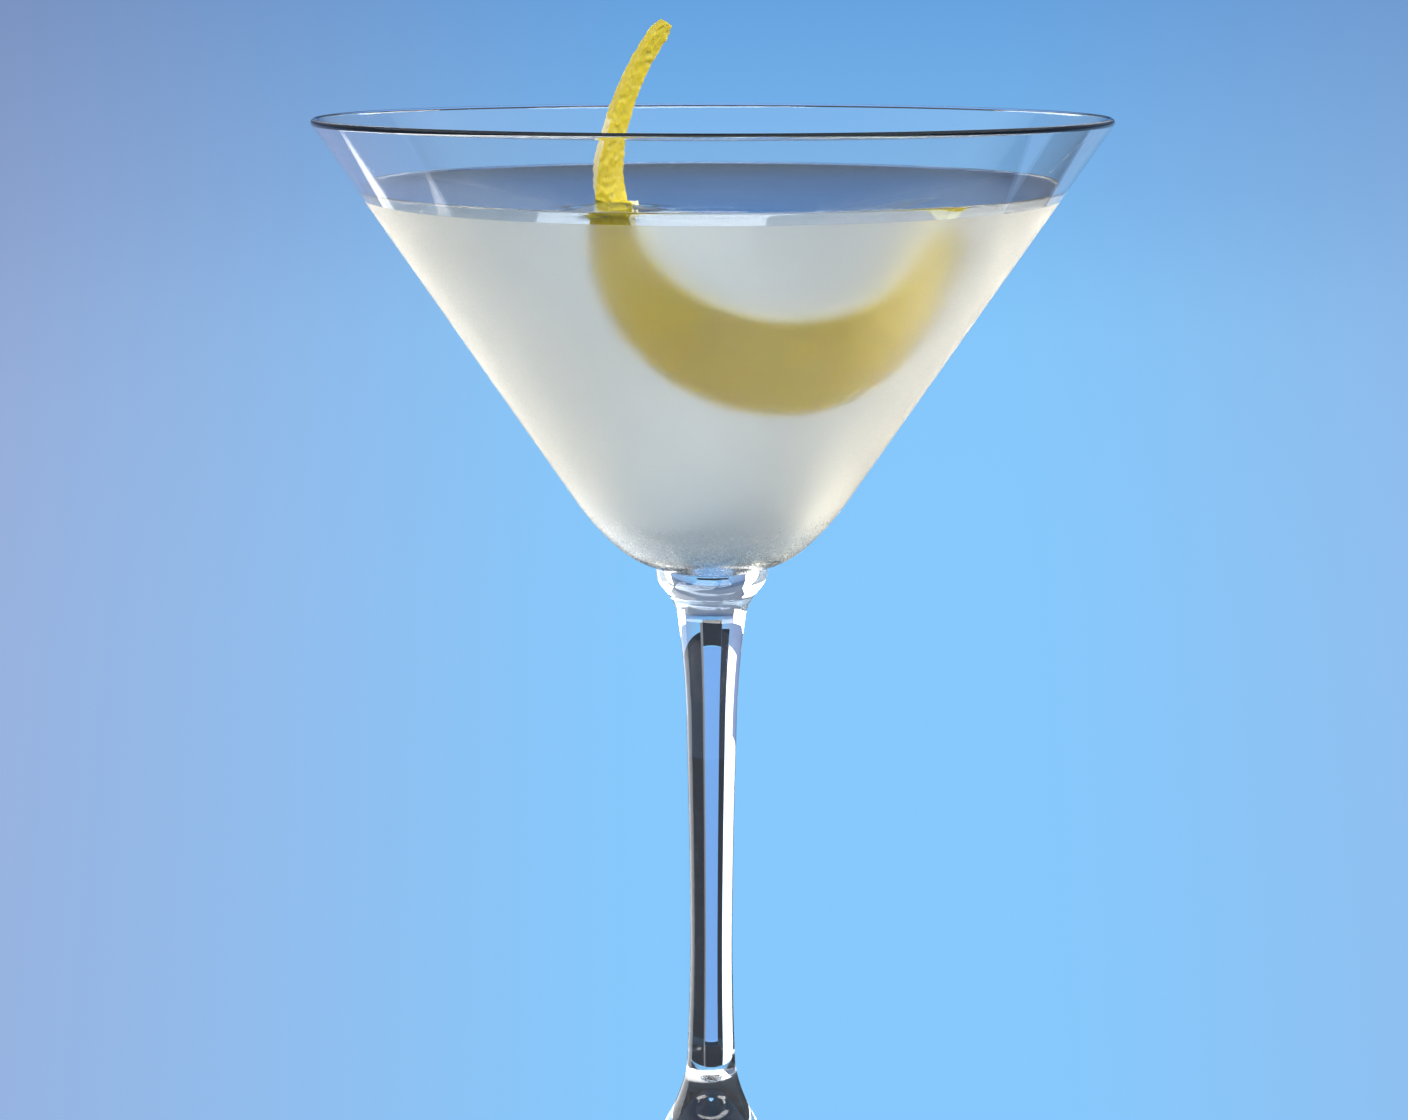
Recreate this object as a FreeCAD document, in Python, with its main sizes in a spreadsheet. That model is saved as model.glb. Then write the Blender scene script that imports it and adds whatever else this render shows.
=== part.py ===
"""A martini cocktail: a V-shaped stemmed glass, its drink and a twist of lemon peel.

Millimetres. +Z is up and the origin is the middle of the foot, on the surface it stands on.
The front of the glass looks along -Y. Depths are measured down from the rim, and rises
up from the surface.
"""

import FreeCAD, Part

import math
import os

import Sketcher

NAME = "martini_cocktail"

# Every driving dimension: its name in the sheet, and its value.
SIZES = (
    # bowl
    ("glass_height", 194.0),
    ("rim_radius", 58.0),
    ("wall", 1.1),
    ("cone_depth", 57.5),
    ("cone_radius", 21.2),
    ("blend_radius", 40.0),
    ("round_radius", 13.0),
    ("bowl_depth", 68.4),
    ("inner_depth", 64.6),
    ("inner_round", 12.0),
    # collar under the bowl
    ("crease_radius", 8.5),
    ("collar_radius", 7.9),
    ("collar_depth", 72.0),
    ("collar_round", 3.8),
    ("neck_radius", 5.5),
    ("neck_depth", 76.2),
    ("neck_hollow", 14.0),
    # stem
    ("upper_radius", 4.0),
    ("upper_depth", 98.0),
    ("upper_hollow", 175.0),
    ("waist_radius", 3.5),
    ("waist_depth", 133.0),
    ("waist_hollow", 1400.0),
    ("lower_radius", 4.15),
    ("lower_rise", 36.0),
    ("lower_hollow", 600.0),
    ("flare_radius", 7.6),
    ("flare_rise", 25.7),
    ("flare_hollow", 40.0),
    # foot
    ("shoulder_radius", 33.5),
    ("shoulder_rise", 2.3),
    ("shoulder_hollow", 41.4),
    ("foot_radius", 37.5),
    ("foot_edge", 1.7),
    ("foot_ring_inner", 33.0),
    ("foot_recess", 1.6),
    # drink
    ("drink_drop", 9.5),
    # twist of peel: a loop low in the drink and a thin end that stands out of it
    ("peel_thickness", 2.0),
    ("peel_wall_gap", 0.7),
    ("loop_reach", 23.3),
    ("loop_drop", 21.4),
    ("loop_side", 10.3),
    ("loop_width", 14.4),
    ("neck_width", 4.7),
    ("end_width", 7.4),
    ("near_lift", 4.1),
    ("far_lift", 6.0),
    ("end_drop", 1.6),
    ("tip_height", 22.4),
    ("tip_bend", 34.7),
    ("tip_width", 2.0),
    ("tip_lean", 1.9),
    ("tip_turn", 25.0),
)

# How the peel is lofted: sections up the thin end and round the loop, how fast the end
# narrows, how fast the loop comes back to the wall, and how small its two ends are.
TIP_SECTIONS = 5
LOOP_SECTIONS = 12
TIP_TAPER = 2.5
LIFT_FADE = 3
END_SHARE = 0.6
THINNING = 0.25

# Sketcher's numbers for a point of a line or an arc, the origin and the upright axis.
ORIGIN = (-1, 1)
START = 1
END = 2
CENTRE = 3
UPRIGHT_AXIS = -2


def make_sheet(doc):
    sheet = doc.addObject("Spreadsheet::Sheet", "sizes")
    for row, (name, value) in enumerate(SIZES, start=1):
        sheet.set("A%d" % row, name)
        sheet.set("B%d" % row, str(value))
        sheet.setAlias("B%d" % row, name)
    doc.recompute()
    return sheet


class Outline:
    """A sketch in the XZ plane of a body, with its constraints bound to the sheet."""

    def __init__(self, body, name):
        self.sketch = body.newObject("Sketcher::SketchObject", name)
        for plane in body.Origin.OriginFeatures:
            if plane.Role == "XZ_Plane":
                self.sketch.AttachmentSupport = [(plane, "")]
        self.sketch.MapMode = "FlatFace"

    def line(self, first, second, construction=False):
        segment = Part.LineSegment(FreeCAD.Vector(*first, 0), FreeCAD.Vector(*second, 0))
        return self.sketch.addGeometry(segment, construction)

    def arc(self, centre, radius, first, last, construction=False):
        """An arc counter-clockwise between two angles, in radians."""
        circle = Part.Circle(FreeCAD.Vector(*centre, 0), FreeCAD.Vector(0, 0, 1), radius)
        return self.sketch.addGeometry(Part.ArcOfCircle(circle, first, last), construction)

    def hold(self, *constraint):
        self.sketch.addConstraint(Sketcher.Constraint(*constraint))

    def bind(self, name, expression, value, kind, *places):
        index = self.sketch.addConstraint(Sketcher.Constraint(kind, *places, value))
        self.sketch.renameConstraint(index, name)
        self.sketch.setExpression("Constraints." + name, expression)

    def across(self, name, expression, value, piece, end):
        self.bind(name + "_across", expression, value, "DistanceX", *ORIGIN, piece, end)

    def height(self, name, expression, value, piece, end):
        self.bind(name + "_up", expression, value, "DistanceY", *ORIGIN, piece, end)


class Bowl:
    """The bowl's own lines, worked out from the sheet: where the straight wall runs."""

    def __init__(self, sheet):
        self.top = sheet.glass_height
        half = sheet.wall / 2
        self.half = half
        self.rim = (sheet.rim_radius - half, self.top - half)
        self.foot_of_cone = (sheet.cone_radius, self.top - sheet.cone_depth)
        run = self.rim[0] - self.foot_of_cone[0]
        rise = self.rim[1] - self.foot_of_cone[1]
        self.slope = math.atan2(rise, run) - math.asin(half / math.hypot(run, rise))
        self.out = (math.sin(self.slope), -math.cos(self.slope))
        self.outer_top = (self.rim[0] + half * self.out[0], self.rim[1] + half * self.out[1])
        self.inner_top = (self.rim[0] - half * self.out[0], self.rim[1] - half * self.out[1])
        self.level = self.top - sheet.drink_drop
        self.inside = self.top - sheet.inner_depth
        middle = self.inside + sheet.inner_round
        self.round_middle = (self.inner_radius(middle) - sheet.inner_round / self.out[0], middle)

    def inner_radius(self, height):
        """Radius of the inside wall, along its straight part."""
        return self.inner_top[0] + (height - self.inner_top[1]) / math.tan(self.slope)


def inner_wall(outline, sheet, bowl, full):
    """The rim and the inside of the bowl, from the rim (or the drink's level) to the axis."""
    draft = not full
    top = "sizes.glass_height"
    rim = outline.arc(bowl.rim, bowl.half, bowl.slope - math.pi / 2, bowl.slope + math.pi / 2, draft)
    outer = outline.line(bowl.outer_top, bowl.foot_of_cone, draft)
    outline.bind("rim_round", "sizes.wall / 2", bowl.half, "Radius", rim)
    outline.across("rim", "sizes.rim_radius - sizes.wall / 2", bowl.rim[0], rim, CENTRE)
    outline.height("rim", top + " - sizes.wall / 2", bowl.rim[1], rim, CENTRE)
    outline.across("cone", "sizes.cone_radius", bowl.foot_of_cone[0], outer, END)
    outline.height("cone", top + " - sizes.cone_depth", bowl.foot_of_cone[1], outer, END)
    outline.hold("Tangent", rim, START, outer, START)

    angle = bowl.slope - math.pi / 2
    touch = (
        bowl.round_middle[0] + sheet.inner_round * math.cos(angle),
        bowl.round_middle[1] + sheet.inner_round * math.sin(angle),
    )
    start = bowl.inner_top
    if draft:
        start = (bowl.inner_radius(bowl.level), bowl.level)
        above = outline.line(bowl.inner_top, start, True)
        outline.hold("Tangent", rim, END, above, START)
    wall = outline.line(start, touch)
    if draft:
        outline.hold("Coincident", above, END, wall, START)
        outline.hold("Parallel", above, wall)
        outline.height("level", top + " - sizes.drink_drop", bowl.level, wall, START)
    else:
        outline.hold("Tangent", rim, END, wall, START)
    corner = outline.arc(bowl.round_middle, sheet.inner_round, -math.pi / 2, angle)
    flat = outline.line((bowl.round_middle[0], bowl.inside), (0, bowl.inside))
    outline.hold("Parallel", outer, wall)
    outline.hold("Tangent", wall, END, corner, END)
    outline.hold("Tangent", corner, START, flat, START)
    outline.bind("inner_round", "sizes.inner_round", sheet.inner_round, "Radius", corner)
    outline.hold("Horizontal", flat)
    outline.height("inside", top + " - sizes.inner_depth", bowl.inside, flat, END)
    outline.hold("PointOnObject", flat, END, UPRIGHT_AXIS)
    return outer, wall, flat


def bend(first, second, radius, hollow):
    """Centre and end angles of the short arc of a radius between two points."""
    middle = ((first[0] + second[0]) / 2, (first[1] + second[1]) / 2)
    along = (second[0] - first[0], second[1] - first[1])
    chord = math.hypot(*along)
    away = math.sqrt(radius**2 - chord**2 / 4) / chord
    side = 1 if hollow else -1
    centre = (middle[0] - side * along[1] * away, middle[1] + side * along[0] * away)
    angles = [math.atan2(end[1] - centre[1], end[0] - centre[0]) for end in (first, second)]
    return centre, angles


def stem_and_foot(outline, sheet, start):
    """The outside below the bowl: collar, stem, flare and foot, down to the axis."""
    # each stretch ends at a named radius, and a named depth or rise; all but the first curve in
    stretches = (
        ("collar", "depth", "collar_round", False),
        ("neck", "depth", "neck_hollow", True),
        ("upper", "depth", "upper_hollow", True),
        ("waist", "depth", "waist_hollow", True),
        ("lower", "rise", "lower_hollow", True),
        ("flare", "rise", "flare_hollow", True),
        ("shoulder", "rise", "shoulder_hollow", True),
    )
    last = None
    for name, way, curve, hollow in stretches:
        height = getattr(sheet, "%s_%s" % (name, way))
        expression = "sizes.%s_%s" % (name, way)
        if way == "depth":
            height = sheet.glass_height - height
            expression = "sizes.glass_height - " + expression
        end = (getattr(sheet, name + "_radius"), height)
        radius = getattr(sheet, curve)
        centre, angles = bend(start, end, radius, hollow)
        # going down the outside, a hollow stretch runs counter-clockwise round its centre
        if hollow:
            piece = outline.arc(centre, radius, *angles)
            ends = (START, END)
        else:
            piece = outline.arc(centre, radius, angles[1], angles[0])
            ends = (END, START)
        outline.bind(curve, "sizes." + curve, radius, "Radius", piece)
        outline.across(name, "sizes.%s_radius" % name, end[0], piece, ends[1])
        outline.height(name, expression, end[1], piece, ends[1])
        if last is None:
            first = (piece, ends[0])
        else:
            outline.hold("Coincident", *last, piece, ends[0])
        last = (piece, ends[1])
        start = end

    edge = sheet.foot_edge / 2
    rim = (sheet.foot_radius - edge, edge)
    top = outline.line(start, (rim[0], rim[1] + edge))
    outline.hold("Coincident", *last, top, START)
    round_edge = outline.arc(rim, edge, -math.pi / 2, math.pi / 2)
    outline.hold("Coincident", top, END, round_edge, END)
    outline.hold("Vertical", round_edge, END, round_edge, CENTRE)
    outline.hold("Vertical", round_edge, START, round_edge, CENTRE)
    outline.bind("foot_edge", "sizes.foot_edge / 2", edge, "Radius", round_edge)
    outline.across("foot", "sizes.foot_radius - sizes.foot_edge / 2", rim[0], round_edge, CENTRE)
    outline.height("foot", "sizes.foot_edge / 2", edge, round_edge, CENTRE)

    ring = outline.line((rim[0], 0), (sheet.foot_ring_inner, 0))
    outline.hold("Coincident", round_edge, START, ring, START)
    outline.hold("Horizontal", ring)
    outline.across("ring", "sizes.foot_ring_inner", sheet.foot_ring_inner, ring, END)
    reach = sheet.foot_ring_inner
    radius = (reach**2 + sheet.foot_recess**2) / (2 * sheet.foot_recess)
    tilt = math.asin(reach / radius)
    recess = outline.arc((0, sheet.foot_recess - radius), radius, math.pi / 2 - tilt, math.pi / 2)
    outline.hold("Coincident", ring, END, recess, START)
    outline.hold("PointOnObject", recess, END, UPRIGHT_AXIS)
    outline.hold("PointOnObject", recess, CENTRE, UPRIGHT_AXIS)
    outline.height("recess", "sizes.foot_recess", sheet.foot_recess, recess, END)
    return first, recess


def revolve(body, outline, name):
    turned = body.newObject("PartDesign::Revolution", name)
    turned.Profile = outline.sketch
    turned.ReferenceAxis = (outline.sketch, ["V_Axis"])
    turned.Angle = 360.0
    outline.sketch.Visibility = False
    return turned


def make_glass(doc, sheet, bowl):
    """One piece of glass: bowl, collar, drawn stem and foot."""
    body = doc.addObject("PartDesign::Body", "glass")
    outline = Outline(body, "glass_outline")
    outer, wall, flat = inner_wall(outline, sheet, bowl, True)

    # outside of the bowl's bottom: a wide blend from the cone, then a tighter round
    blend = sheet.blend_radius
    tight = sheet.round_radius
    wide_middle = (
        bowl.foot_of_cone[0] - blend * bowl.out[0],
        bowl.foot_of_cone[1] - blend * bowl.out[1],
    )
    drop = wide_middle[1] - (bowl.top - sheet.bowl_depth + tight)
    turn = math.asin(drop / (blend - tight))
    middle = (
        wide_middle[0] + (blend - tight) * math.cos(turn),
        wide_middle[1] - (blend - tight) * math.sin(turn),
    )
    wide = outline.arc(wide_middle, blend, -turn, bowl.slope - math.pi / 2)
    outline.hold("Tangent", outer, END, wide, END)
    outline.bind("blend", "sizes.blend_radius", blend, "Radius", wide)
    last = math.acos((sheet.crease_radius - middle[0]) / tight)
    under = outline.arc(middle, tight, -last, -turn)
    outline.hold("Tangent", wide, START, under, END)
    outline.bind("tight", "sizes.round_radius", tight, "Radius", under)
    lowest = "sizes.glass_height - sizes.bowl_depth + sizes.round_radius"
    outline.height("under", lowest, middle[1], under, CENTRE)
    outline.across("crease", "sizes.crease_radius", sheet.crease_radius, under, START)

    crease = (sheet.crease_radius, middle[1] - tight * math.sin(last))
    first, recess = stem_and_foot(outline, sheet, crease)
    outline.hold("Coincident", under, START, *first)
    core = outline.line((0, sheet.foot_recess), (0, bowl.inside))
    outline.hold("Coincident", recess, END, core, START)
    outline.hold("Coincident", core, END, flat, END)
    revolve(body, outline, "blown_glass")
    return body


def make_fill(doc, sheet, bowl):
    """What the bowl holds up to the level, before the peel goes in."""
    body = doc.addObject("PartDesign::Body", "fill")
    outline = Outline(body, "fill_outline")
    outer, wall, flat = inner_wall(outline, sheet, bowl, False)
    axis = outline.line((0, bowl.inside), (0, bowl.level))
    surface = outline.line((0, bowl.level), (bowl.inner_radius(bowl.level), bowl.level))
    outline.hold("Coincident", flat, END, axis, START)
    outline.hold("PointOnObject", axis, END, UPRIGHT_AXIS)
    outline.hold("Coincident", axis, END, surface, START)
    outline.hold("Coincident", surface, END, wall, START)
    outline.hold("Horizontal", surface)
    revolve(body, outline, "poured_drink")
    return body


class Peel:
    """The strip of lemon peel: where its middle runs and how wide it is there."""

    def __init__(self, sheet, bowl):
        self.sheet = sheet
        self.bowl = bowl

    def on_wall(self, turn, offset):
        """A point of the loop at a turn from its left end, offset outwards across the strip.

        The loop is laid round the wall: its sideways reach is an arc, so it fits any bowl.
        """
        sheet = self.sheet
        aside = sheet.loop_side - (sheet.loop_reach + offset) * math.cos(turn)
        drop = (sheet.loop_drop + offset) * math.sin(turn) + sheet.end_drop * self.share(turn)
        z = self.bowl.level - drop
        lift = sheet.near_lift if turn < math.pi / 2 else sheet.far_lift
        inset = sheet.peel_wall_gap + sheet.peel_thickness / 2 + lift * abs(math.cos(turn)) ** LIFT_FADE
        radius = self.bowl.inner_radius(z) - inset / self.bowl.out[0]
        around = aside / radius
        return FreeCAD.Vector(radius * math.sin(around), -radius * math.cos(around), z)

    def share(self, turn):
        """How far along the loop a turn is, from 0 at its left end to 1 at its right end."""
        return turn / math.pi

    def loop_station(self, turn):
        sheet = self.sheet
        end = sheet.neck_width + (sheet.end_width - sheet.neck_width) * self.share(turn)
        width = end + (sheet.loop_width - end) * math.sin(turn)
        step = 0.01
        along = self.on_wall(turn + step, 0) - self.on_wall(turn - step, 0)
        across = self.on_wall(turn, -width / 2) - self.on_wall(turn, width / 2)
        return self.on_wall(turn, 0), along, across, sheet.peel_thickness

    def tip_station(self, height):
        """A station of the end that stands out of the drink, at a height above its level."""
        sheet = self.sheet
        start = self.on_wall(0, 0)
        bow = math.asin(height / sheet.tip_bend)
        share = height / sheet.tip_height
        middle = start + FreeCAD.Vector(
            sheet.tip_bend * (1 - math.cos(bow)), sheet.tip_lean * share, height
        )
        width = sheet.tip_width + (sheet.neck_width - sheet.tip_width) * (1 - share) ** TIP_TAPER
        turn = math.radians(sheet.tip_turn)
        across = FreeCAD.Vector(
            math.cos(bow) * math.cos(turn), math.sin(turn), -math.sin(bow) * math.cos(turn)
        )
        along = FreeCAD.Vector(-math.sin(bow), 0, -math.cos(bow))
        thickness = sheet.peel_thickness * (1 - share * THINNING)
        return middle, along, across * width, thickness

    def section(self, middle, along, across, thickness):
        """A flat strip's section with round edges, square to the strip."""
        width = across.Length
        across = across.normalize()
        out = across.cross(along).normalize()
        half = thickness / 2
        flat = max(width / 2 - half, half / 4)
        corners = [
            middle + across * (x * flat) + out * (y * half)
            for x, y in ((-1, -1), (1, -1), (1, 1), (-1, 1))
        ]
        ends = [middle + across * (side * (flat + half)) for side in (1, -1)]
        edges = [
            Part.makeLine(corners[0], corners[1]),
            Part.Arc(corners[1], ends[0], corners[2]).toShape(),
            Part.makeLine(corners[2], corners[3]),
            Part.Arc(corners[3], ends[1], corners[0]).toShape(),
        ]
        return Part.Wire(edges)

    def stations(self):
        """From the tip down into the drink and round the loop."""
        sheet = self.sheet
        stations = []
        # the tip is rounded off by one narrower section
        middle, along, across, thickness = self.tip_station(sheet.tip_height)
        stations.append((middle, along, across * END_SHARE, thickness * END_SHARE))
        straight = sheet.tip_height - sheet.tip_width / 2
        for step in range(TIP_SECTIONS):
            stations.append(self.tip_station(straight * (1 - step / TIP_SECTIONS)))
        for step in range(1, LOOP_SECTIONS + 1):
            stations.append(self.loop_station(math.pi * step / LOOP_SECTIONS))
        # so is the other end, which stops short of the drink's surface
        middle, along, across, thickness = stations[-1]
        middle = middle + FreeCAD.Vector(0, 0, sheet.end_drop * END_SHARE)
        stations.append((middle, along, across * END_SHARE, thickness * END_SHARE))
        return stations


def make_twist(doc, sheet, bowl):
    """The whole strip of peel, one solid lofted through its sections."""
    peel = Peel(sheet, bowl)
    wires = [peel.section(*station) for station in peel.stations()]
    twist = doc.addObject("Part::Feature", "lemon_twist")
    twist.Shape = Part.makeLoft(wires, True, False)
    return twist


def make_drink(doc, fill, twist):
    """The drink, solid up to its level, cut round the peel."""
    drink = doc.addObject("Part::Cut", "drink")
    drink.Base = fill
    drink.Tool = twist
    return drink


def check(doc, parts):
    doc.recompute()
    for thing in doc.Objects:
        if "Invalid" in thing.State or "Error" in thing.State:
            raise RuntimeError("%s failed: %s" % (thing.Name, thing.State))
    for part in parts:
        if part.Shape.isNull() or not part.Shape.isValid():
            raise RuntimeError("%s has no valid shape" % part.Label)


def main():
    doc = FreeCAD.newDocument(NAME)
    sheet = make_sheet(doc)
    bowl = Bowl(sheet)
    glass = make_glass(doc, sheet, bowl)
    fill = make_fill(doc, sheet, bowl)
    twist = make_twist(doc, sheet, bowl)
    drink = make_drink(doc, fill, twist)
    parts = (glass, drink, twist)
    for part in parts:
        part.Label = part.Name
    check(doc, parts)
    os.makedirs("parts", exist_ok=True)
    for part in parts:
        part.Shape.exportStep("parts/%s.step" % part.Label)
        print(part.Label, "%.1f cm3" % (part.Shape.Volume / 1000))


main()
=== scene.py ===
import math

import bpy
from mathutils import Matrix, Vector


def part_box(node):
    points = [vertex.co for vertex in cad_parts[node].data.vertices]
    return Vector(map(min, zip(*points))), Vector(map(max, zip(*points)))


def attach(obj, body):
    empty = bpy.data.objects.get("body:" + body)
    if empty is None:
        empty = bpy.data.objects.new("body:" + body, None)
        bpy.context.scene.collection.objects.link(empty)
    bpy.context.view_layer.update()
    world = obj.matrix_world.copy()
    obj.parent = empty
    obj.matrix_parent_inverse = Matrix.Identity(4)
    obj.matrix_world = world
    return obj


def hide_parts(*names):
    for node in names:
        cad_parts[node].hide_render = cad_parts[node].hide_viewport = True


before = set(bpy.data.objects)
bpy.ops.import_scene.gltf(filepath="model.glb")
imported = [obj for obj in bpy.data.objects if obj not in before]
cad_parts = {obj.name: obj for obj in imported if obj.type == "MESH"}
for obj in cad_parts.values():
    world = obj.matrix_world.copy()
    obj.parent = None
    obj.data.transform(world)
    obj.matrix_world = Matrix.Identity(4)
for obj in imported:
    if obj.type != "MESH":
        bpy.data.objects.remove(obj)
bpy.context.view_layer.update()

# ---------------------------------------------------------------- sizes
# Everything is in metres. MM turns the glassmaker's millimetres into metres.
MM = 0.001
GLASS_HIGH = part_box("glass")[1]
DRINK_LOW, DRINK_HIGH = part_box("drink")

HEIGHT = GLASS_HIGH[2]
RIM = GLASS_HIGH[0]
LEVEL = DRINK_HIGH[2]
INSIDE = DRINK_LOW[2]
WALL = 1.1 * MM
CONE = (21.2 * MM, HEIGHT - 57.5 * MM)
BLEND_RADIUS = 40 * MM
ROUND_RADIUS = 13 * MM
BOWL_BOTTOM = HEIGHT - 68.4 * MM
INNER_ROUND = 12 * MM
CREASE = 8.5 * MM
FOOT_RADIUS = 37.5 * MM
FOOT_EDGE = 1.7 * MM
RING_INNER = 33 * MM
RECESS = 1.6 * MM

# below the bowl: where each stretch ends, the radius of its curve, whether it curves in,
# and how many points it takes
STEM = (
    ((7.9 * MM, HEIGHT - 72.0 * MM), 3.8 * MM, False, 12),
    ((5.5 * MM, HEIGHT - 76.2 * MM), 14 * MM, True, 8),
    ((4.0 * MM, HEIGHT - 98.0 * MM), 175 * MM, True, 12),
    ((3.5 * MM, HEIGHT - 133.0 * MM), 1400 * MM, True, 10),
    ((4.15 * MM, 36.0 * MM), 600 * MM, True, 10),
    ((7.6 * MM, 25.7 * MM), 40 * MM, True, 12),
    ((33.5 * MM, 2.3 * MM), 41.4 * MM, True, 32),
)
TURNS = 192
HOLD = 0.06 * MM
MERGE = 0.002 * MM

# the drink reaches into the wall, so that no air gap shows between them, and its edge climbs
# the wall and the peel
REACH = 0.25 * MM
CLIMB = 0.12 * MM
CLIMB_WIDTH = 0.3 * MM
CLIMB_SPAN = 4 * CLIMB_WIDTH
CLIMB_STEPS = 16
CLIMB_CROWDING = 1.6
SURFACE = LEVEL - CLIMB
SURFACE_RINGS = 24
PEEL_CLIMB = 0.8 * MM
PEEL_CLIMB_WIDTH = 1.3 * MM
PEEL_CLIMB_REACH = 6 * MM
# how near the peel the surface is cut finer, and by how many cuts, one pass after another
FINER = ((9 * MM, 2), (5 * MM, 1))
# a place this little under the surface still belongs to it
LEVEL_SLACK = 0.1 * MM

# the twist of peel
PEEL_THICKNESS = 2.0 * MM
PEEL_GAP = 0.7 * MM
LOOP_REACH = 23.3 * MM
LOOP_DROP = 21.4 * MM
LOOP_SIDE = 10.3 * MM
LOOP_WIDTH = 14.4 * MM
NECK_WIDTH = 4.7 * MM
END_WIDTH = 7.4 * MM
NEAR_LIFT = 4.1 * MM
FAR_LIFT = 6.0 * MM
END_DROP = 2.2 * MM
TIP_HEIGHT = 21.7 * MM
TIP_BEND = 34.7 * MM
TIP_WIDTH = 2.0 * MM
TIP_LEAN = 1.9 * MM
TIP_TURN = math.radians(25)
TIP_STEPS = 26
TIP_FIRST = 0.999
TIP_TAPER = 2.5
# the tip turns to lie along the wall over its lowest stretch
TIP_SETTLE = 5 * MM
TIP_SETTLE_SHARE = 0.6
LOOP_STEPS = 72
TURN_STEP = 0.01
LIFT_POWER = 3
# a rounded end starts a little wide, so that its first faces aren't slivers
END_LEAST = 0.12
END_START = 0.1 * MM
ACROSS = 12
EDGE_ROUND = 0.3 * MM
SKIN_GRAIN = 0.7 * MM
SKIN_ROUGH = 0.4 * MM
PITH_TOP = 10.5 * MM


# ---------------------------------------------------------------- working by hand
def put_down():
    """Nothing selected, in object mode."""
    if bpy.context.object and bpy.context.object.mode != "OBJECT":
        bpy.ops.object.mode_set(mode="OBJECT")
    bpy.ops.object.select_all(action="DESELECT")


def take(piece):
    put_down()
    bpy.context.view_layer.objects.active = piece
    piece.select_set(True)


def named(name):
    piece = bpy.context.object
    piece.name = name
    piece.data.name = name
    return piece


def start_point(name, place):
    """A piece that is a single point, ready to be extruded, left in edit mode."""
    put_down()
    bpy.ops.mesh.primitive_plane_add(size=MM, location=(0, 0, 0))
    piece = named(name)
    bpy.ops.object.mode_set(mode="EDIT")
    bpy.ops.mesh.select_mode(type="VERT")
    bpy.ops.mesh.select_all(action="SELECT")
    bpy.ops.mesh.merge(type="CENTER")
    bpy.ops.transform.translate(value=place)
    return piece


def turned(name, outline, steps=TURNS):
    """An outline of (radius, height) points, extruded one by one and spun round the axis."""
    places = [Vector((radius, 0, height)) for radius, height in outline]
    piece = start_point(name, places[0])
    for last, place in zip(places, places[1:]):
        bpy.ops.mesh.extrude_region_move(TRANSFORM_OT_translate={"value": place - last})
    bpy.ops.mesh.select_all(action="SELECT")
    bpy.ops.mesh.spin(steps=steps, angle=2 * math.pi, center=(0, 0, 0), axis=(0, 0, 1))
    bpy.ops.mesh.select_all(action="SELECT")
    bpy.ops.mesh.remove_doubles(threshold=MERGE)
    bpy.ops.mesh.normals_make_consistent(inside=False)
    bpy.ops.object.mode_set(mode="OBJECT")
    bpy.ops.object.shade_smooth()
    return piece


def bend(start, end, radius, hollow, count):
    """Points of the short arc of a radius from start (left out) to end."""
    middle = Vector(((start[0] + end[0]) / 2, (start[1] + end[1]) / 2))
    along = Vector((end[0] - start[0], end[1] - start[1]))
    away = math.sqrt(radius**2 - along.length**2 / 4) / along.length
    side = 1 if hollow else -1
    centre = (middle[0] - side * along[1] * away, middle[1] + side * along[0] * away)
    first, last = (math.atan2(p[1] - centre[1], p[0] - centre[0]) for p in (start, end))
    # the short way round
    turn = (last - first + math.pi) % (2 * math.pi) - math.pi
    return round_points(centre, radius, first, first + turn, count)


def round_points(centre, radius, first, last, count):
    """Points of an arc between two angles, its first point left out."""
    angles = [first + (last - first) * step / count for step in range(1, count + 1)]
    return [(centre[0] + radius * math.cos(a), centre[1] + radius * math.sin(a)) for a in angles]


def straight(start, end):
    """A straight stretch to its end, with a point just inside each end to keep its face flat."""
    run = Vector((end[0] - start[0], end[1] - start[1]))
    step = run.normalized() * HOLD
    return [(start[0] + step[0], start[1] + step[1]), (end[0] - step[0], end[1] - step[1]), end]


# ---------------------------------------------------------------- the bowl's lines
RIM_MIDDLE = (RIM - WALL / 2, HEIGHT - WALL / 2)
CONE_RUN = RIM_MIDDLE[0] - CONE[0]
CONE_RISE = RIM_MIDDLE[1] - CONE[1]
SLOPE = math.atan2(CONE_RISE, CONE_RUN) - math.asin(WALL / 2 / math.hypot(CONE_RUN, CONE_RISE))
# level and upright shares of the way out of the straight wall
OUT = (math.sin(SLOPE), -math.cos(SLOPE))
INNER_TOP = (RIM_MIDDLE[0] - WALL / 2 * OUT[0], RIM_MIDDLE[1] - WALL / 2 * OUT[1])


def inner_radius(height):
    return INNER_TOP[0] + (height - INNER_TOP[1]) / math.tan(SLOPE)


def inner_wall(reach=0.0):
    """From the middle of the bowl's floor out to the foot of its straight wall."""
    height = INSIDE + INNER_ROUND
    middle = (inner_radius(height) - INNER_ROUND / OUT[0], height)
    points = [(0, INSIDE - reach)]
    points += straight(points[0], (middle[0], INSIDE - reach))
    points += round_points(middle, INNER_ROUND + reach, -math.pi / 2, SLOPE - math.pi / 2, 20)
    return points


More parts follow.
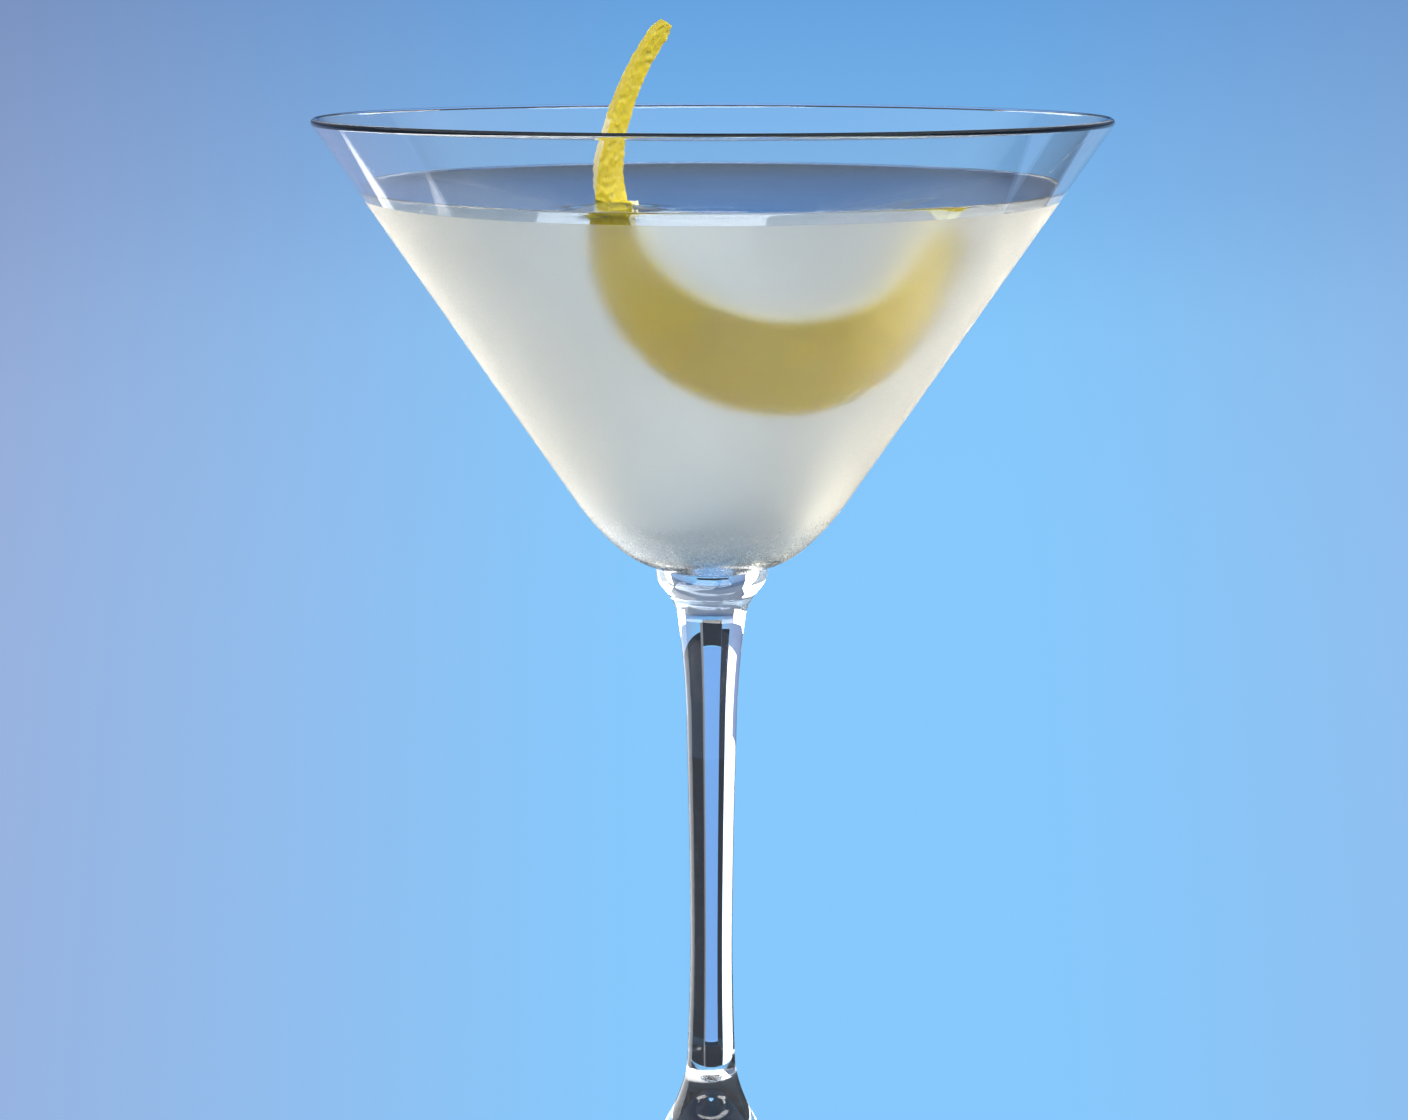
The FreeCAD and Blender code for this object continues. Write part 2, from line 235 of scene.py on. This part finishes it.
def glass_outline():
    """From the middle of the bowl's floor, over the rim and down the outside to the recess."""
    outline = inner_wall()
    outline += straight(outline[-1], INNER_TOP)
    outline += round_points(RIM_MIDDLE, WALL / 2, SLOPE + math.pi / 2, SLOPE - math.pi / 2, 12)
    outline += straight(outline[-1], CONE)
    wide = (CONE[0] - BLEND_RADIUS * OUT[0], CONE[1] - BLEND_RADIUS * OUT[1])
    span = BLEND_RADIUS - ROUND_RADIUS
    turn = math.asin((wide[1] - BOWL_BOTTOM - ROUND_RADIUS) / span)
    outline += round_points(wide, BLEND_RADIUS, SLOPE - math.pi / 2, -turn, 12)
    tight = (wide[0] + span * math.cos(turn), wide[1] - span * math.sin(turn))
    last = math.acos((CREASE - tight[0]) / ROUND_RADIUS)
    outline += round_points(tight, ROUND_RADIUS, -turn, -last, 24)
    for end, radius, hollow, count in STEM:
        outline += bend(outline[-1], end, radius, hollow, count)
    edge = FOOT_EDGE / 2
    outline += round_points((FOOT_RADIUS - edge, edge), edge, math.pi / 2, -math.pi / 2, 10)
    outline += straight(outline[-1], (RING_INNER, 0))
    dome = (RING_INNER**2 + RECESS**2) / (2 * RECESS)
    tilt = math.asin(RING_INNER / dome)
    outline += round_points((0, RECESS - dome), dome, math.pi / 2 - tilt, math.pi / 2, 12)
    return outline


def drink_outline():
    """From the middle of the bowl's floor, just inside the glass, up and over the surface."""
    outline = inner_wall(REACH)
    top = SURFACE + CLIMB
    wall = inner_radius(top)
    outline += straight(outline[-1], (wall + REACH / OUT[0], top))
    # the surface falls from the wall to its flat middle
    for step in range(CLIMB_STEPS + 1):
        away = CLIMB_SPAN * (step / CLIMB_STEPS) ** CLIMB_CROWDING
        outline.append((wall - away, SURFACE + CLIMB * math.exp(-away / CLIMB_WIDTH)))
    edge = outline[-1][0]
    for ring in range(1, SURFACE_RINGS + 1):
        outline.append((edge * (1 - ring / SURFACE_RINGS), SURFACE))
    return outline


# ---------------------------------------------------------------- the peel's route
def on_wall(turn, offset=0.0):
    """A point of the loop at a turn from its left end, offset outwards across the strip."""
    aside = LOOP_SIDE - (LOOP_REACH + offset) * math.cos(turn)
    height = LEVEL - (LOOP_DROP + offset) * math.sin(turn) - END_DROP * turn / math.pi
    lift = NEAR_LIFT if turn < math.pi / 2 else FAR_LIFT
    inset = PEEL_GAP + PEEL_THICKNESS / 2 + lift * abs(math.cos(turn)) ** LIFT_POWER
    radius = inner_radius(height) - inset / OUT[0]
    return Vector((radius * math.sin(aside / radius), -radius * math.cos(aside / radius), height))


def loop_station(turn):
    end = NECK_WIDTH + (END_WIDTH - NECK_WIDTH) * turn / math.pi
    width = end + (LOOP_WIDTH - end) * math.sin(turn)
    along = on_wall(turn + TURN_STEP) - on_wall(turn - TURN_STEP)
    across = on_wall(turn, -width / 2) - on_wall(turn, width / 2)
    return on_wall(turn), along.normalized(), across


def tip_station(height):
    bow = math.asin(height / TIP_BEND)
    share = height / TIP_HEIGHT
    aside = TIP_BEND * (1 - math.cos(bow))
    middle = on_wall(0) + Vector((aside, TIP_LEAN * share, height))
    width = TIP_WIDTH + (NECK_WIDTH - TIP_WIDTH) * (1 - share) ** TIP_TAPER
    turned_share = math.cos(TIP_TURN)
    across = Vector(
        (math.cos(bow) * turned_share, math.sin(TIP_TURN), -math.sin(bow) * turned_share)
    )
    along = Vector((-math.sin(bow), 0, -math.cos(bow)))
    return middle, along, across * width


def rounding(distance, width):
    """How much of its width a strip has at a distance from its rounded end."""
    share = min(distance / (width / 2), 1)
    return max(math.sqrt(1 - (1 - share) ** 2), END_LEAST)


def peel_stations():
    """Middle, direction and width of the strip, from the tip down and round the loop."""
    stations = []
    for step in range(TIP_STEPS):
        height = TIP_HEIGHT * min(1 - step / TIP_STEPS, TIP_FIRST)
        middle, along, across = tip_station(height)
        across = across * rounding(TIP_HEIGHT - height + END_START, across.length)
        if height < TIP_SETTLE:
            share = 1 - height / TIP_SETTLE
            flat = loop_station(0)[2].normalized() * across.length
            across = across.lerp(flat, TIP_SETTLE_SHARE * share)
        stations.append((middle, along, across))
    for step in range(LOOP_STEPS + 1):
        turn = math.pi * step / LOOP_STEPS
        middle, along, across = loop_station(turn)
        left = (math.pi - turn) * LOOP_REACH
        across = across * rounding(left + 2 * END_START, across.length)
        stations.append((middle, along, across))
    return stations


def rail(places):
    """A chain of points, extruded one by one from the selected first one."""
    for last, place in zip(places, places[1:]):
        bpy.ops.mesh.extrude_region_move(TRANSFORM_OT_translate={"value": place - last})


def peel_strip():
    """The strip's skin: two rails bridged into a ribbon, then cut up across.

    It lies half a peel's thickness inside the route, towards the axis, and the body that is
    added to it goes further in.
    """
    stations = peel_stations()
    skin = []
    for middle, along, across in stations:
        inward = across.normalized().cross(along).normalized()
        skin.append(middle + inward * PEEL_THICKNESS / 2)
    left = [place - across / 2 for place, (_, _, across) in zip(skin, stations)]
    right = [place + across / 2 for place, (_, _, across) in zip(skin, stations)]
    strip = start_point("lemon_twist_peel", left[0])
    rail(left)
    bpy.ops.mesh.primitive_plane_add(size=MM, location=(0, 0, 0))
    bpy.ops.mesh.merge(type="CENTER")
    bpy.ops.transform.translate(value=right[0])
    rail(right)
    bpy.ops.mesh.select_all(action="SELECT")
    bpy.ops.mesh.bridge_edge_loops()
    bpy.ops.mesh.select_mode(type="EDGE")
    bpy.ops.mesh.select_all(action="DESELECT")
    bpy.ops.object.mode_set(mode="OBJECT")
    for edge in strip.data.edges:
        edge.select = (edge.vertices[0] < len(left)) != (edge.vertices[1] < len(left))
    bpy.ops.object.mode_set(mode="EDIT")
    bpy.ops.mesh.subdivide(number_cuts=ACROSS)
    bpy.ops.mesh.select_all(action="SELECT")
    bpy.ops.object.mode_set(mode="OBJECT")
    # the yellow side faces out, to the front
    facing = sum(face.normal.y * face.area for face in strip.data.polygons)
    if facing > 0:
        bpy.ops.object.mode_set(mode="EDIT")
        bpy.ops.mesh.flip_normals()
        bpy.ops.object.mode_set(mode="OBJECT")
    return strip


# ---------------------------------------------------------------- materials
GLASS_IOR = 1.5
DRINK_IOR = 1.345
DRINK_TINT = (0.99, 1.0, 0.985, 1)
# painted shade: the drink's top alone is tinted darker and bluer than the clear liquid under it
SURFACE_PAINTED_SHADE = (0.62, 0.76, 0.90, 1)
SURFACE_COAT_IOR = 2.2

# mist covers the outside of the bowl from the collar to just under the drink's level
# painted light: a warm tint on the mist that cancels the blue light it gets from the sweep
MIST_WARM_LIGHT_TINT = (1.0, 0.94, 0.80, 1)
MIST_LOW = HEIGHT - 68 * MM
MIST_TOP = LEVEL - 1.8 * MM
MIST_CLEAR = 0.42
MIST_ROUGH = 0.76
MIST_GRAIN = 3200
MIST_CLOUD = 60
# it is thinner on the thick bottom of the bowl, which is warmer
MIST_THIN_LOW = HEIGHT - 64 * MM
MIST_THIN_HIGH = HEIGHT - 48 * MM
MIST_THIN = 0.4

GLAND_CELLS = 900
GLAND_DEPTH = 0.12 * MM
ZEST_PATCHES = 160
ZEST_PIT = (0.88, 0.76, 0.16, 1)
ZEST_DEEP = (0.82, 0.60, 0.016, 1)
ZEST_BRIGHT = (0.92, 0.74, 0.03, 1)
# painted shade: the zest's colour above the drink, where the lamps light it directly
ZEST_PAINTED_SHADE = (0.19, 0.150, 0.006, 1)
ZEST_ROUGH = 0.38
PITH_FIBRES = 700
FIBRE_DEPTH = 0.25 * MM
PITH_YELLOW = (0.86, 0.74, 0.34, 1)
PITH_CREAM = (0.95, 0.92, 0.78, 1)
# painted shade: the pith's colour above the drink, where the lamps light it directly
PITH_PAINTED_SHADE = (0.25, 0.21, 0.07, 1)
PITH_ROUGH = 0.55
# painted shade: the peel is painted darker above the drink, where the lamps light it directly;
# how high over the drink it is full, and how far under it the change begins
SHADE_OVER = 4 * MM
SHADE_UNDER = 1 * MM


def new_material(name):
    material = bpy.data.materials.new(name)
    material.use_nodes = True
    return material, material.node_tree.nodes, material.node_tree.links


def shader(nodes):
    return nodes["Principled BSDF"]


def clear_glass():
    material, nodes, _ = new_material("clear_glass")
    surface = shader(nodes)
    surface.inputs["Base Color"].default_value = (1, 1, 1, 1)
    surface.inputs["Roughness"].default_value = 0.0
    surface.inputs["IOR"].default_value = GLASS_IOR
    surface.inputs["Transmission Weight"].default_value = 1.0
    return material


def noise(nodes, links, source, scale, detail=2.0, rough=0.5):
    node = nodes.new("ShaderNodeTexNoise")
    node.inputs["Scale"].default_value = scale
    node.inputs["Detail"].default_value = detail
    node.inputs["Roughness"].default_value = rough
    links.new(source, node.inputs["Vector"])
    return node.outputs["Fac"]


def span(nodes, links, source, low, high, to_low, to_high):
    """A value carried from one range onto another, and held at its ends."""
    node = nodes.new("ShaderNodeMapRange")
    node.inputs["From Min"].default_value = low
    node.inputs["From Max"].default_value = high
    node.inputs["To Min"].default_value = to_low
    node.inputs["To Max"].default_value = to_high
    links.new(source, node.inputs["Value"])
    return node.outputs["Result"]


def bump(nodes, links, height, strength, distance):
    node = nodes.new("ShaderNodeBump")
    node.inputs["Strength"].default_value = strength
    node.inputs["Distance"].default_value = distance
    links.new(height, node.inputs["Height"])
    return node.outputs["Normal"]


def length(nodes, links, place):
    """How far a place is from the middle of the floor."""
    node = nodes.new("ShaderNodeVectorMath")
    node.operation = "LENGTH"
    links.new(place, node.inputs[0])
    return node.outputs["Value"]


def axes(nodes, links, place):
    """A place's three coordinates, as outputs X, Y and Z."""
    node = nodes.new("ShaderNodeSeparateXYZ")
    links.new(place, node.inputs[0])
    return node.outputs


def sums(nodes, links, operation, first, second=None):
    """One step of arithmetic on a value, with a number or another value where it needs one."""
    node = nodes.new("ShaderNodeMath")
    node.operation = operation
    links.new(first, node.inputs[0])
    if isinstance(second, float):
        node.inputs[1].default_value = second
    elif second is not None:
        links.new(second, node.inputs[1])
    return node.outputs["Value"]


def shades(nodes, links, source, stops):
    """A colour ramp through (place, colour) stops."""
    node = nodes.new("ShaderNodeValToRGB")
    ramp = node.color_ramp
    ramp.elements[0].position, ramp.elements[0].color = stops[0]
    ramp.elements[1].position, ramp.elements[1].color = stops[-1]
    for where, colour in stops[1:-1]:
        ramp.elements.new(where).color = colour
    links.new(source, node.inputs["Fac"])
    return node.outputs["Color"]


def coordinates(nodes):
    return nodes.new("ShaderNodeTexCoord").outputs["Object"]


def misted_glass():
    """Chilled glass: fine droplets, some of which scatter widely and some hardly at all."""
    material, nodes, links = new_material("misted_glass")
    surface = shader(nodes)
    place = coordinates(nodes)
    grain = noise(nodes, links, place, MIST_GRAIN, 2.0, 0.6)
    cloud = noise(nodes, links, place, MIST_CLOUD, 3.0, 0.5)
    drops = span(nodes, links, grain, 0.35, 0.65, MIST_CLEAR, MIST_ROUGH)
    height = axes(nodes, links, place)["Z"]
    thin = span(nodes, links, height, MIST_THIN_LOW, MIST_THIN_HIGH, MIST_THIN, 1.0)
    drops = sums(nodes, links, "MULTIPLY", drops, thin)
    veil = span(nodes, links, cloud, 0.3, 0.7, 0.98, 0.94)
    # painted light: warm tint against the sweep's blue light
    surface.inputs["Base Color"].default_value = MIST_WARM_LIGHT_TINT
    surface.inputs["IOR"].default_value = GLASS_IOR
    links.new(drops, surface.inputs["Roughness"])
    links.new(veil, surface.inputs["Transmission Weight"])
    return material


def drink_liquid():
    material, nodes, _ = new_material("drink")
    surface = shader(nodes)
    surface.inputs["Base Color"].default_value = DRINK_TINT
    surface.inputs["Roughness"].default_value = 0.0
    surface.inputs["IOR"].default_value = DRINK_IOR
    surface.inputs["Transmission Weight"].default_value = 1.0
    return material


def drink_surface():
    """The drink's top: clear liquid under a skin that turns to a mirror at a low angle, with
    painted shade: the top alone is tinted darker and bluer than the liquid under it.
    """
    material, nodes, _ = new_material("drink_surface")
    surface = shader(nodes)
    # painted shade: a darker, bluer tint on the top only
    surface.inputs["Base Color"].default_value = SURFACE_PAINTED_SHADE
    surface.inputs["Coat Weight"].default_value = 1.0
    surface.inputs["Coat IOR"].default_value = SURFACE_COAT_IOR
    surface.inputs["Coat Roughness"].default_value = 0.0
    surface.inputs["Roughness"].default_value = 0.0
    surface.inputs["IOR"].default_value = DRINK_IOR
    surface.inputs["Transmission Weight"].default_value = 1.0
    return material


def mix_colours(nodes, links, share, first, second):
    """A mix of two colours, each a fixed one or another node's."""
    node = nodes.new("ShaderNodeMix")
    node.data_type = "RGBA"
    links.new(share, next(socket for socket in node.inputs if socket.type == "VALUE"))
    sockets = [socket for socket in node.inputs if socket.type == "RGBA"]
    for socket, value in zip(sockets, (first, second)):
        if isinstance(value, tuple):
            socket.default_value = value
        else:
            links.new(value, socket)
    return next(socket for socket in node.outputs if socket.type == "RGBA")


def shade_above_drink(nodes, links, place, colour, shaded):
    """A colour that turns most of the way to a darker one above the drink: painted shade, where
    the lamps light the peel directly.
    """
    height = axes(nodes, links, place)["Z"]
    above = span(nodes, links, height, LEVEL, LEVEL + SHADE_OVER, 0.55, 0.85)
    under = span(nodes, links, height, LEVEL - SHADE_UNDER, LEVEL, 0.0, 1.0)
    return mix_colours(nodes, links, sums(nodes, links, "MULTIPLY", above, under), colour, shaded)


def zest():
    """The peel's yellow skin, pitted with oil glands."""
    material, nodes, links = new_material("lemon_zest")
    surface = shader(nodes)
    place = coordinates(nodes)
    cells = nodes.new("ShaderNodeTexVoronoi")
    cells.inputs["Scale"].default_value = GLAND_CELLS
    links.new(place, cells.inputs["Vector"])
    gland = span(nodes, links, cells.outputs["Distance"], 0.15, 0.45, 0.0, 1.0)
    patch = noise(nodes, links, place, ZEST_PATCHES, 3.0, 0.6)
    skin = mix_colours(nodes, links, patch, ZEST_DEEP, ZEST_BRIGHT)
    colour = mix_colours(nodes, links, gland, ZEST_PIT, skin)
    # painted shade: darker above the drink
    colour = shade_above_drink(nodes, links, place, colour, ZEST_PAINTED_SHADE)
    links.new(colour, surface.inputs["Base Color"])
    surface.inputs["Roughness"].default_value = ZEST_ROUGH
    surface.inputs["Subsurface Weight"].default_value = 0.15
    surface.inputs["Subsurface Radius"].default_value = (0.002, 0.0014, 0.0004)
    surface.inputs["Subsurface Scale"].default_value = 1.0
    links.new(bump(nodes, links, gland, 0.6, GLAND_DEPTH), surface.inputs["Normal"])
    return material


def pith():
    """The cut edge and the inner side: creamy and rough."""
    material, nodes, links = new_material("lemon_pith")
    surface = shader(nodes)
    place = coordinates(nodes)
    fibres = noise(nodes, links, place, PITH_FIBRES, 4.0, 0.65)
    colour = mix_colours(nodes, links, fibres, PITH_YELLOW, PITH_CREAM)
    # painted shade: darker above the drink
    colour = shade_above_drink(nodes, links, place, colour, PITH_PAINTED_SHADE)
    links.new(colour, surface.inputs["Base Color"])
    surface.inputs["Roughness"].default_value = PITH_ROUGH
    surface.inputs["Subsurface Weight"].default_value = 0.3
    surface.inputs["Subsurface Radius"].default_value = (0.002, 0.0016, 0.0010)
    surface.inputs["Subsurface Scale"].default_value = 1.0
    links.new(bump(nodes, links, fibres, 0.8, FIBRE_DEPTH), surface.inputs["Normal"])
    return material


# ---------------------------------------------------------------- making the pieces
def make_glass():
    glass = turned("stemmed_glass", glass_outline())
    cut_round(glass, MIST_TOP)
    glass.data.materials.append(clear_glass())
    glass.data.materials.append(misted_glass())
    for face in glass.data.polygons:
        away = Vector((face.center.x, face.center.y, 0))
        outside = away.dot(face.normal) > 0 and face.normal.z < 0
        if outside and MIST_LOW < face.center.z < MIST_TOP:
            face.material_index = 1
    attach(glass, "root")
    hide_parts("glass")


def cut_round(piece, height):
    """An edge all round a piece at a height, so that a finish can stop there."""
    take(piece)
    bpy.ops.object.mode_set(mode="EDIT")
    bpy.ops.mesh.select_all(action="SELECT")
    bpy.ops.mesh.bisect(plane_co=(0, 0, height), plane_no=(0, 0, 1))
    bpy.ops.object.mode_set(mode="OBJECT")


def peel_at_surface():
    """The two corners of the peel's front face, where it comes out of the drink."""
    middle, _, across = tip_station(SURFACE - on_wall(0).z)
    return middle - across / 2, middle + across / 2


def away_from(place, start, end):
    """How far a place is, level, from the line between two others."""
    run = (end - start).to_2d()
    share = min(max((place - start).to_2d().dot(run) / run.length_squared, 0), 1)
    return ((place - start).to_2d() - run * share).length


def make_drink():
    drink = turned("drink_liquid", drink_outline())
    # the surface is cut finer round the peel, and climbs it a little
    start, end = peel_at_surface()
    for reach, cuts in FINER:
        take(drink)
        bpy.ops.object.mode_set(mode="EDIT")
        bpy.ops.mesh.select_mode(type="FACE")
        bpy.ops.mesh.select_all(action="DESELECT")
        bpy.ops.object.mode_set(mode="OBJECT")
        for face in drink.data.polygons:
            level = face.normal.z > 0.6 and face.center.z > SURFACE - LEVEL_SLACK
            face.select = level and away_from(face.center, start, end) < reach
        bpy.ops.object.mode_set(mode="EDIT")
        bpy.ops.mesh.subdivide(number_cuts=cuts)
        bpy.ops.object.mode_set(mode="OBJECT")
    for point in drink.data.vertices:
        away = away_from(point.co, start, end)
        if abs(point.co.z - SURFACE) < LEVEL_SLACK and away < PEEL_CLIMB_REACH:
            point.co.z += PEEL_CLIMB * math.exp(-away / PEEL_CLIMB_WIDTH)
    drink.data.materials.append(drink_liquid())
    drink.data.materials.append(drink_surface())
    for face in drink.data.polygons:
        if face.normal.z > 0.3 and face.center.z > SURFACE - LEVEL_SLACK:
            face.material_index = 1
    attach(drink, "root")
    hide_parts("drink")


def make_twist():
    strip = peel_strip()
    take(strip)
    body = strip.modifiers.new("body", "SOLIDIFY")
    body.thickness = PEEL_THICKNESS
    body.offset = -1
    body.material_offset = 1
    body.material_offset_rim = 1
    strip.data.materials.append(zest())
    strip.data.materials.append(pith())
    edges = strip.modifiers.new("edges", "BEVEL")
    edges.width = EDGE_ROUND
    edges.segments = 2
    edges.limit_method = "ANGLE"
    edges.angle_limit = math.radians(50)
    smooth = strip.modifiers.new("smooth", "SUBSURF")
    smooth.levels = 2
    smooth.render_levels = 2
    skin = bpy.data.textures.new("rough_skin", "CLOUDS")
    skin.noise_scale = SKIN_GRAIN
    skin.noise_depth = 2
    rough = strip.modifiers.new("rough", "DISPLACE")
    rough.texture = skin
    rough.texture_coords = "LOCAL"
    rough.strength = SKIN_ROUGH
    rough.mid_level = 0.55
    for name in ("body", "edges", "smooth", "rough"):
        bpy.ops.object.modifier_apply(modifier=name)
    # the cut edges are covered by yellow skin towards the tip
    for face in strip.data.polygons:
        if face.center.z > LEVEL + PITH_TOP:
            face.material_index = 0
    bpy.ops.object.shade_smooth()
    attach(strip, "root")
    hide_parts("lemon_twist")


# ---------------------------------------------------------------- stage
# the sweep's painted light, from near and low to far and high: it glows by itself, a painted pool
# of blue light near and low, with painted dark and blue bands above the wall's foot
SWEEP_GLOW_POOL = (
    (0.00, (0.238, 0.580, 0.980, 1)),
    (0.10, (0.235, 0.570, 0.960, 1)),
    (0.27, (0.190, 0.470, 0.850, 1)),
    (0.535, (0.136, 0.365, 0.740, 1)),
    (0.575, (0.030, 0.045, 0.070, 1)),
    (0.600, (0.035, 0.050, 0.075, 1)),
    (0.625, (0.030, 0.100, 0.270, 1)),
    (0.665, (0.040, 0.150, 0.400, 1)),
    (0.720, (0.060, 0.110, 0.230, 1)),
    (1.000, (0.180, 0.250, 0.380, 1)),
)
SWEEP_GLOW_SIDES = (
    (0.00, (0.320, 0.430, 0.710, 1)),
    (0.27, (0.255, 0.350, 0.600, 1)),
    (0.535, (0.200, 0.285, 0.510, 1)),
    (0.575, (0.030, 0.045, 0.070, 1)),
    (0.600, (0.060, 0.080, 0.120, 1)),
    (0.625, (0.110, 0.180, 0.360, 1)),
    (0.665, (0.150, 0.260, 0.500, 1)),
    (0.720, (0.080, 0.120, 0.230, 1)),
    (1.000, (0.200, 0.250, 0.350, 1)),
)
SWEEP_FLAT = 1.6
SWEEP_CURVE = 0.8
SWEEP_TOP = 1.6
# the paint gives its own light, so it answers to no lamp
SWEEP_PAINT = (0.001, 0.001, 0.001, 1)
# the painted pool of blue light narrows towards a place this far in front of the glass
POOL_FRONT = 0.4


def make_stage():
    """A blue sweep: a round floor that turns up into a wall all round. It glows by itself with
    painted light: a pool of blue near and low, painted dark above its foot.
    """
    wall = SWEEP_FLAT + SWEEP_CURVE
    outline = [(0, 0), (0.1, 0), (0.3, 0), (0.6, 0), (1.1, 0), (SWEEP_FLAT, 0)]
    outline += round_points((SWEEP_FLAT, SWEEP_CURVE), SWEEP_CURVE, -math.pi / 2, 0, 16)
    outline += [(wall, 1.2), (wall, SWEEP_TOP)]
    sweep = turned("sweep", outline, 96)
    material, nodes, links = new_material("sweep_glow")
    surface = shader(nodes)
    place = coordinates(nodes)
    parts = axes(nodes, links, place)
    # how far out and up a place on the sweep is
    out = span(nodes, links, length(nodes, links, place), 0.4, wall, 0.0, 0.3)
    far = sums(nodes, links, "ADD", out, parts["Z"])
    glow_pool = shades(nodes, links, far, SWEEP_GLOW_POOL)
    edge = shades(nodes, links, far, SWEEP_GLOW_SIDES)
    # the painted pool of blue light fades to lavender on its left, and a little on its right
    depth = sums(nodes, links, "ABSOLUTE", sums(nodes, links, "ADD", parts["Y"], POOL_FRONT))
    aside = sums(nodes, links, "DIVIDE", parts["X"], depth)
    left = span(nodes, links, aside, -0.37, -0.03, 1.0, 0.0)
    right = span(nodes, links, aside, 0.15, 0.42, 0.0, 0.6)
    sides = sums(nodes, links, "ADD", left, right)
    colour = mix_colours(nodes, links, sides, glow_pool, edge)
    surface.inputs["Base Color"].default_value = SWEEP_PAINT
    surface.inputs["Roughness"].default_value = 0.9
    surface.inputs["Specular IOR Level"].default_value = 0.0
    # painted light: the sweep's colour is its own glow
    links.new(colour, surface.inputs["Emission Color"])
    surface.inputs["Emission Strength"].default_value = 1.0
    sweep.data.materials.append(material)


def round_about(azimuth, distance, height):
    """A place round the glass: azimuth 0 is behind it, 90 to its right, in degrees."""
    angle = math.radians(azimuth)
    return Vector((distance * math.sin(angle), distance * math.cos(angle), height))


BLACK = (0.012, 0.014, 0.018, 1)
WHITE = (0.9, 0.9, 0.9, 1)
GREY = (0.22, 0.22, 0.22, 1)
BLUE = (0.17, 0.40, 0.86, 1)
WHITE_LIGHT = (1, 1, 1)
WARM = (1.0, 0.95, 0.87)
BOWL = Vector((0, 0, 0.15))
CEILING_BACK = (0.16, 0.20, 0.27, 1)
CEILING_FRONT = (0.66, 0.82, 1.0, 1)
CEILING_STRENGTH = 1.1


def card(name, first, last, near, far, high, colour=BLACK, glow=0.0, low=0.002):
    """A card on the floor, a little up at its far end, from one azimuth to another.

    Black cards give clear glass its dark edges, and glowing ones its bright edges.
    """
    put_down()
    profile = [
        round_about(first, near, low),
        round_about(first, far, low),
        round_about(first, far, high),
    ]
    start_point(name, profile[0])
    rail(profile)
    bpy.ops.mesh.select_all(action="SELECT")
    bpy.ops.mesh.spin(
        steps=24, angle=math.radians(last - first), center=(0, 0, 0), axis=(0, 0, 1)
    )
    bpy.ops.object.mode_set(mode="OBJECT")
    board = bpy.context.object
    material, nodes, _ = new_material(name)
    surface = shader(nodes)
    surface.inputs["Base Color"].default_value = BLACK
    surface.inputs["Roughness"].default_value = 0.9
    surface.inputs["Specular IOR Level"].default_value = 0.0
    surface.inputs["Emission Color"].default_value = colour
    surface.inputs["Emission Strength"].default_value = glow
    board.data.materials.append(material)
    board.visible_camera = False
    board.visible_shadow = False
    board.visible_diffuse = False


def softbox(name, place, size, power, colour=WHITE_LIGHT):
    """A soft panel that faces the bowl."""
    put_down()
    bpy.ops.object.light_add(type="AREA", location=place)
    lamp = bpy.context.object
    lamp.name = name
    lamp.data.shape = "RECTANGLE"
    lamp.data.size, lamp.data.size_y = size
    lamp.data.energy = power
    lamp.data.color = colour
    lamp.rotation_euler = (BOWL - place).to_track_quat("-Z", "Y").to_euler()
    lamp.visible_camera = False
    return lamp


def make_lamps():
    left = softbox("softbox_left_back", round_about(-52, 0.9, 0.22), (0.80, 0.55), 28, WARM)
    right = softbox("softbox_right_back", round_about(60, 0.9, 0.22), (0.70, 0.55), 32, WARM)
    front = softbox("softbox_front", round_about(165, 1.0, 0.85), (2.2, 0.9), 54)
    for lamp in (left, right, front):
        lamp.visible_glossy = False


def make_cards():
    card("card_dark_left", -12, -23, 0.04, 0.6, 0.01)
    card("card_white_left", -24, -46, 0.04, 0.5, 0.01, WHITE, 2.4)
    card("card_white_left_near", -46, -75, 0.04, 0.26, 0.003, WHITE, 2.2)
    card("card_dark_left_floor", -76, -180, 0.04, 0.30, 0.003)
    card("card_grey_right", 11, 14, 0.04, 0.9, 0.01, GREY, 1.0)
    card("card_blue_middle", -11.9, 10.9, 0.061, 0.5, 0.003, BLUE, 1.0)
    card("card_dark_middle", -11.9, 10.9, 0.51, 1.55, 0.003)
    card("card_dark_right", 14, 62, 0.04, 0.55, 0.01)
    card("card_dark_right_floor", 63, 180, 0.04, 0.30, 0.003)
    card("card_dark_foot", -12, 12, 0.039, 0.06, 0.003)
    card("card_dark_under", -180, 180, 0.001, 0.030, 0.0003, low=0.0002)


def make_ceiling():
    """A soft ceiling over the front and the sides of the studio, dim over its back."""
    world = bpy.data.worlds.new("studio")
    bpy.context.scene.world = world
    world.use_nodes = True
    nodes, links = world.node_tree.nodes, world.node_tree.links
    way = axes(nodes, links, nodes.new("ShaderNodeTexCoord").outputs["Generated"])
    lean = sums(nodes, links, "SUBTRACT", way["Z"], way["Y"])
    aside = sums(nodes, links, "MULTIPLY", sums(nodes, links, "ABSOLUTE", way["X"]), 1.5)
    lean = sums(nodes, links, "ADD", lean, aside)
    over = span(nodes, links, lean, 0.55, 1.25, 0.0, 1.0)
    ceiling = mix_colours(nodes, links, over, CEILING_BACK, CEILING_FRONT)
    links.new(ceiling, nodes["Background"].inputs["Color"])
    nodes["Background"].inputs["Strength"].default_value = CEILING_STRENGTH


CAMERA_PLACE = (-0.0012253, -0.27505, HEIGHT + 0.009852)
CAMERA_TILT = math.radians(74.1935)
CAMERA_SENSOR = 36
CAMERA_LENS = 46.45
CAMERA_NEAR = 0.01


def make_camera():
    put_down()
    bpy.ops.object.camera_add(location=CAMERA_PLACE, rotation=(CAMERA_TILT, 0, 0))
    camera = bpy.context.object
    camera.data.sensor_width = CAMERA_SENSOR
    camera.data.lens = CAMERA_LENS
    camera.data.clip_start = CAMERA_NEAR
    bpy.context.scene.camera = camera


make_glass()
make_drink()
make_twist()
make_stage()
make_lamps()
make_cards()
make_ceiling()
make_camera()
bpy.context.scene.view_settings.view_transform = "Standard"

put_down()
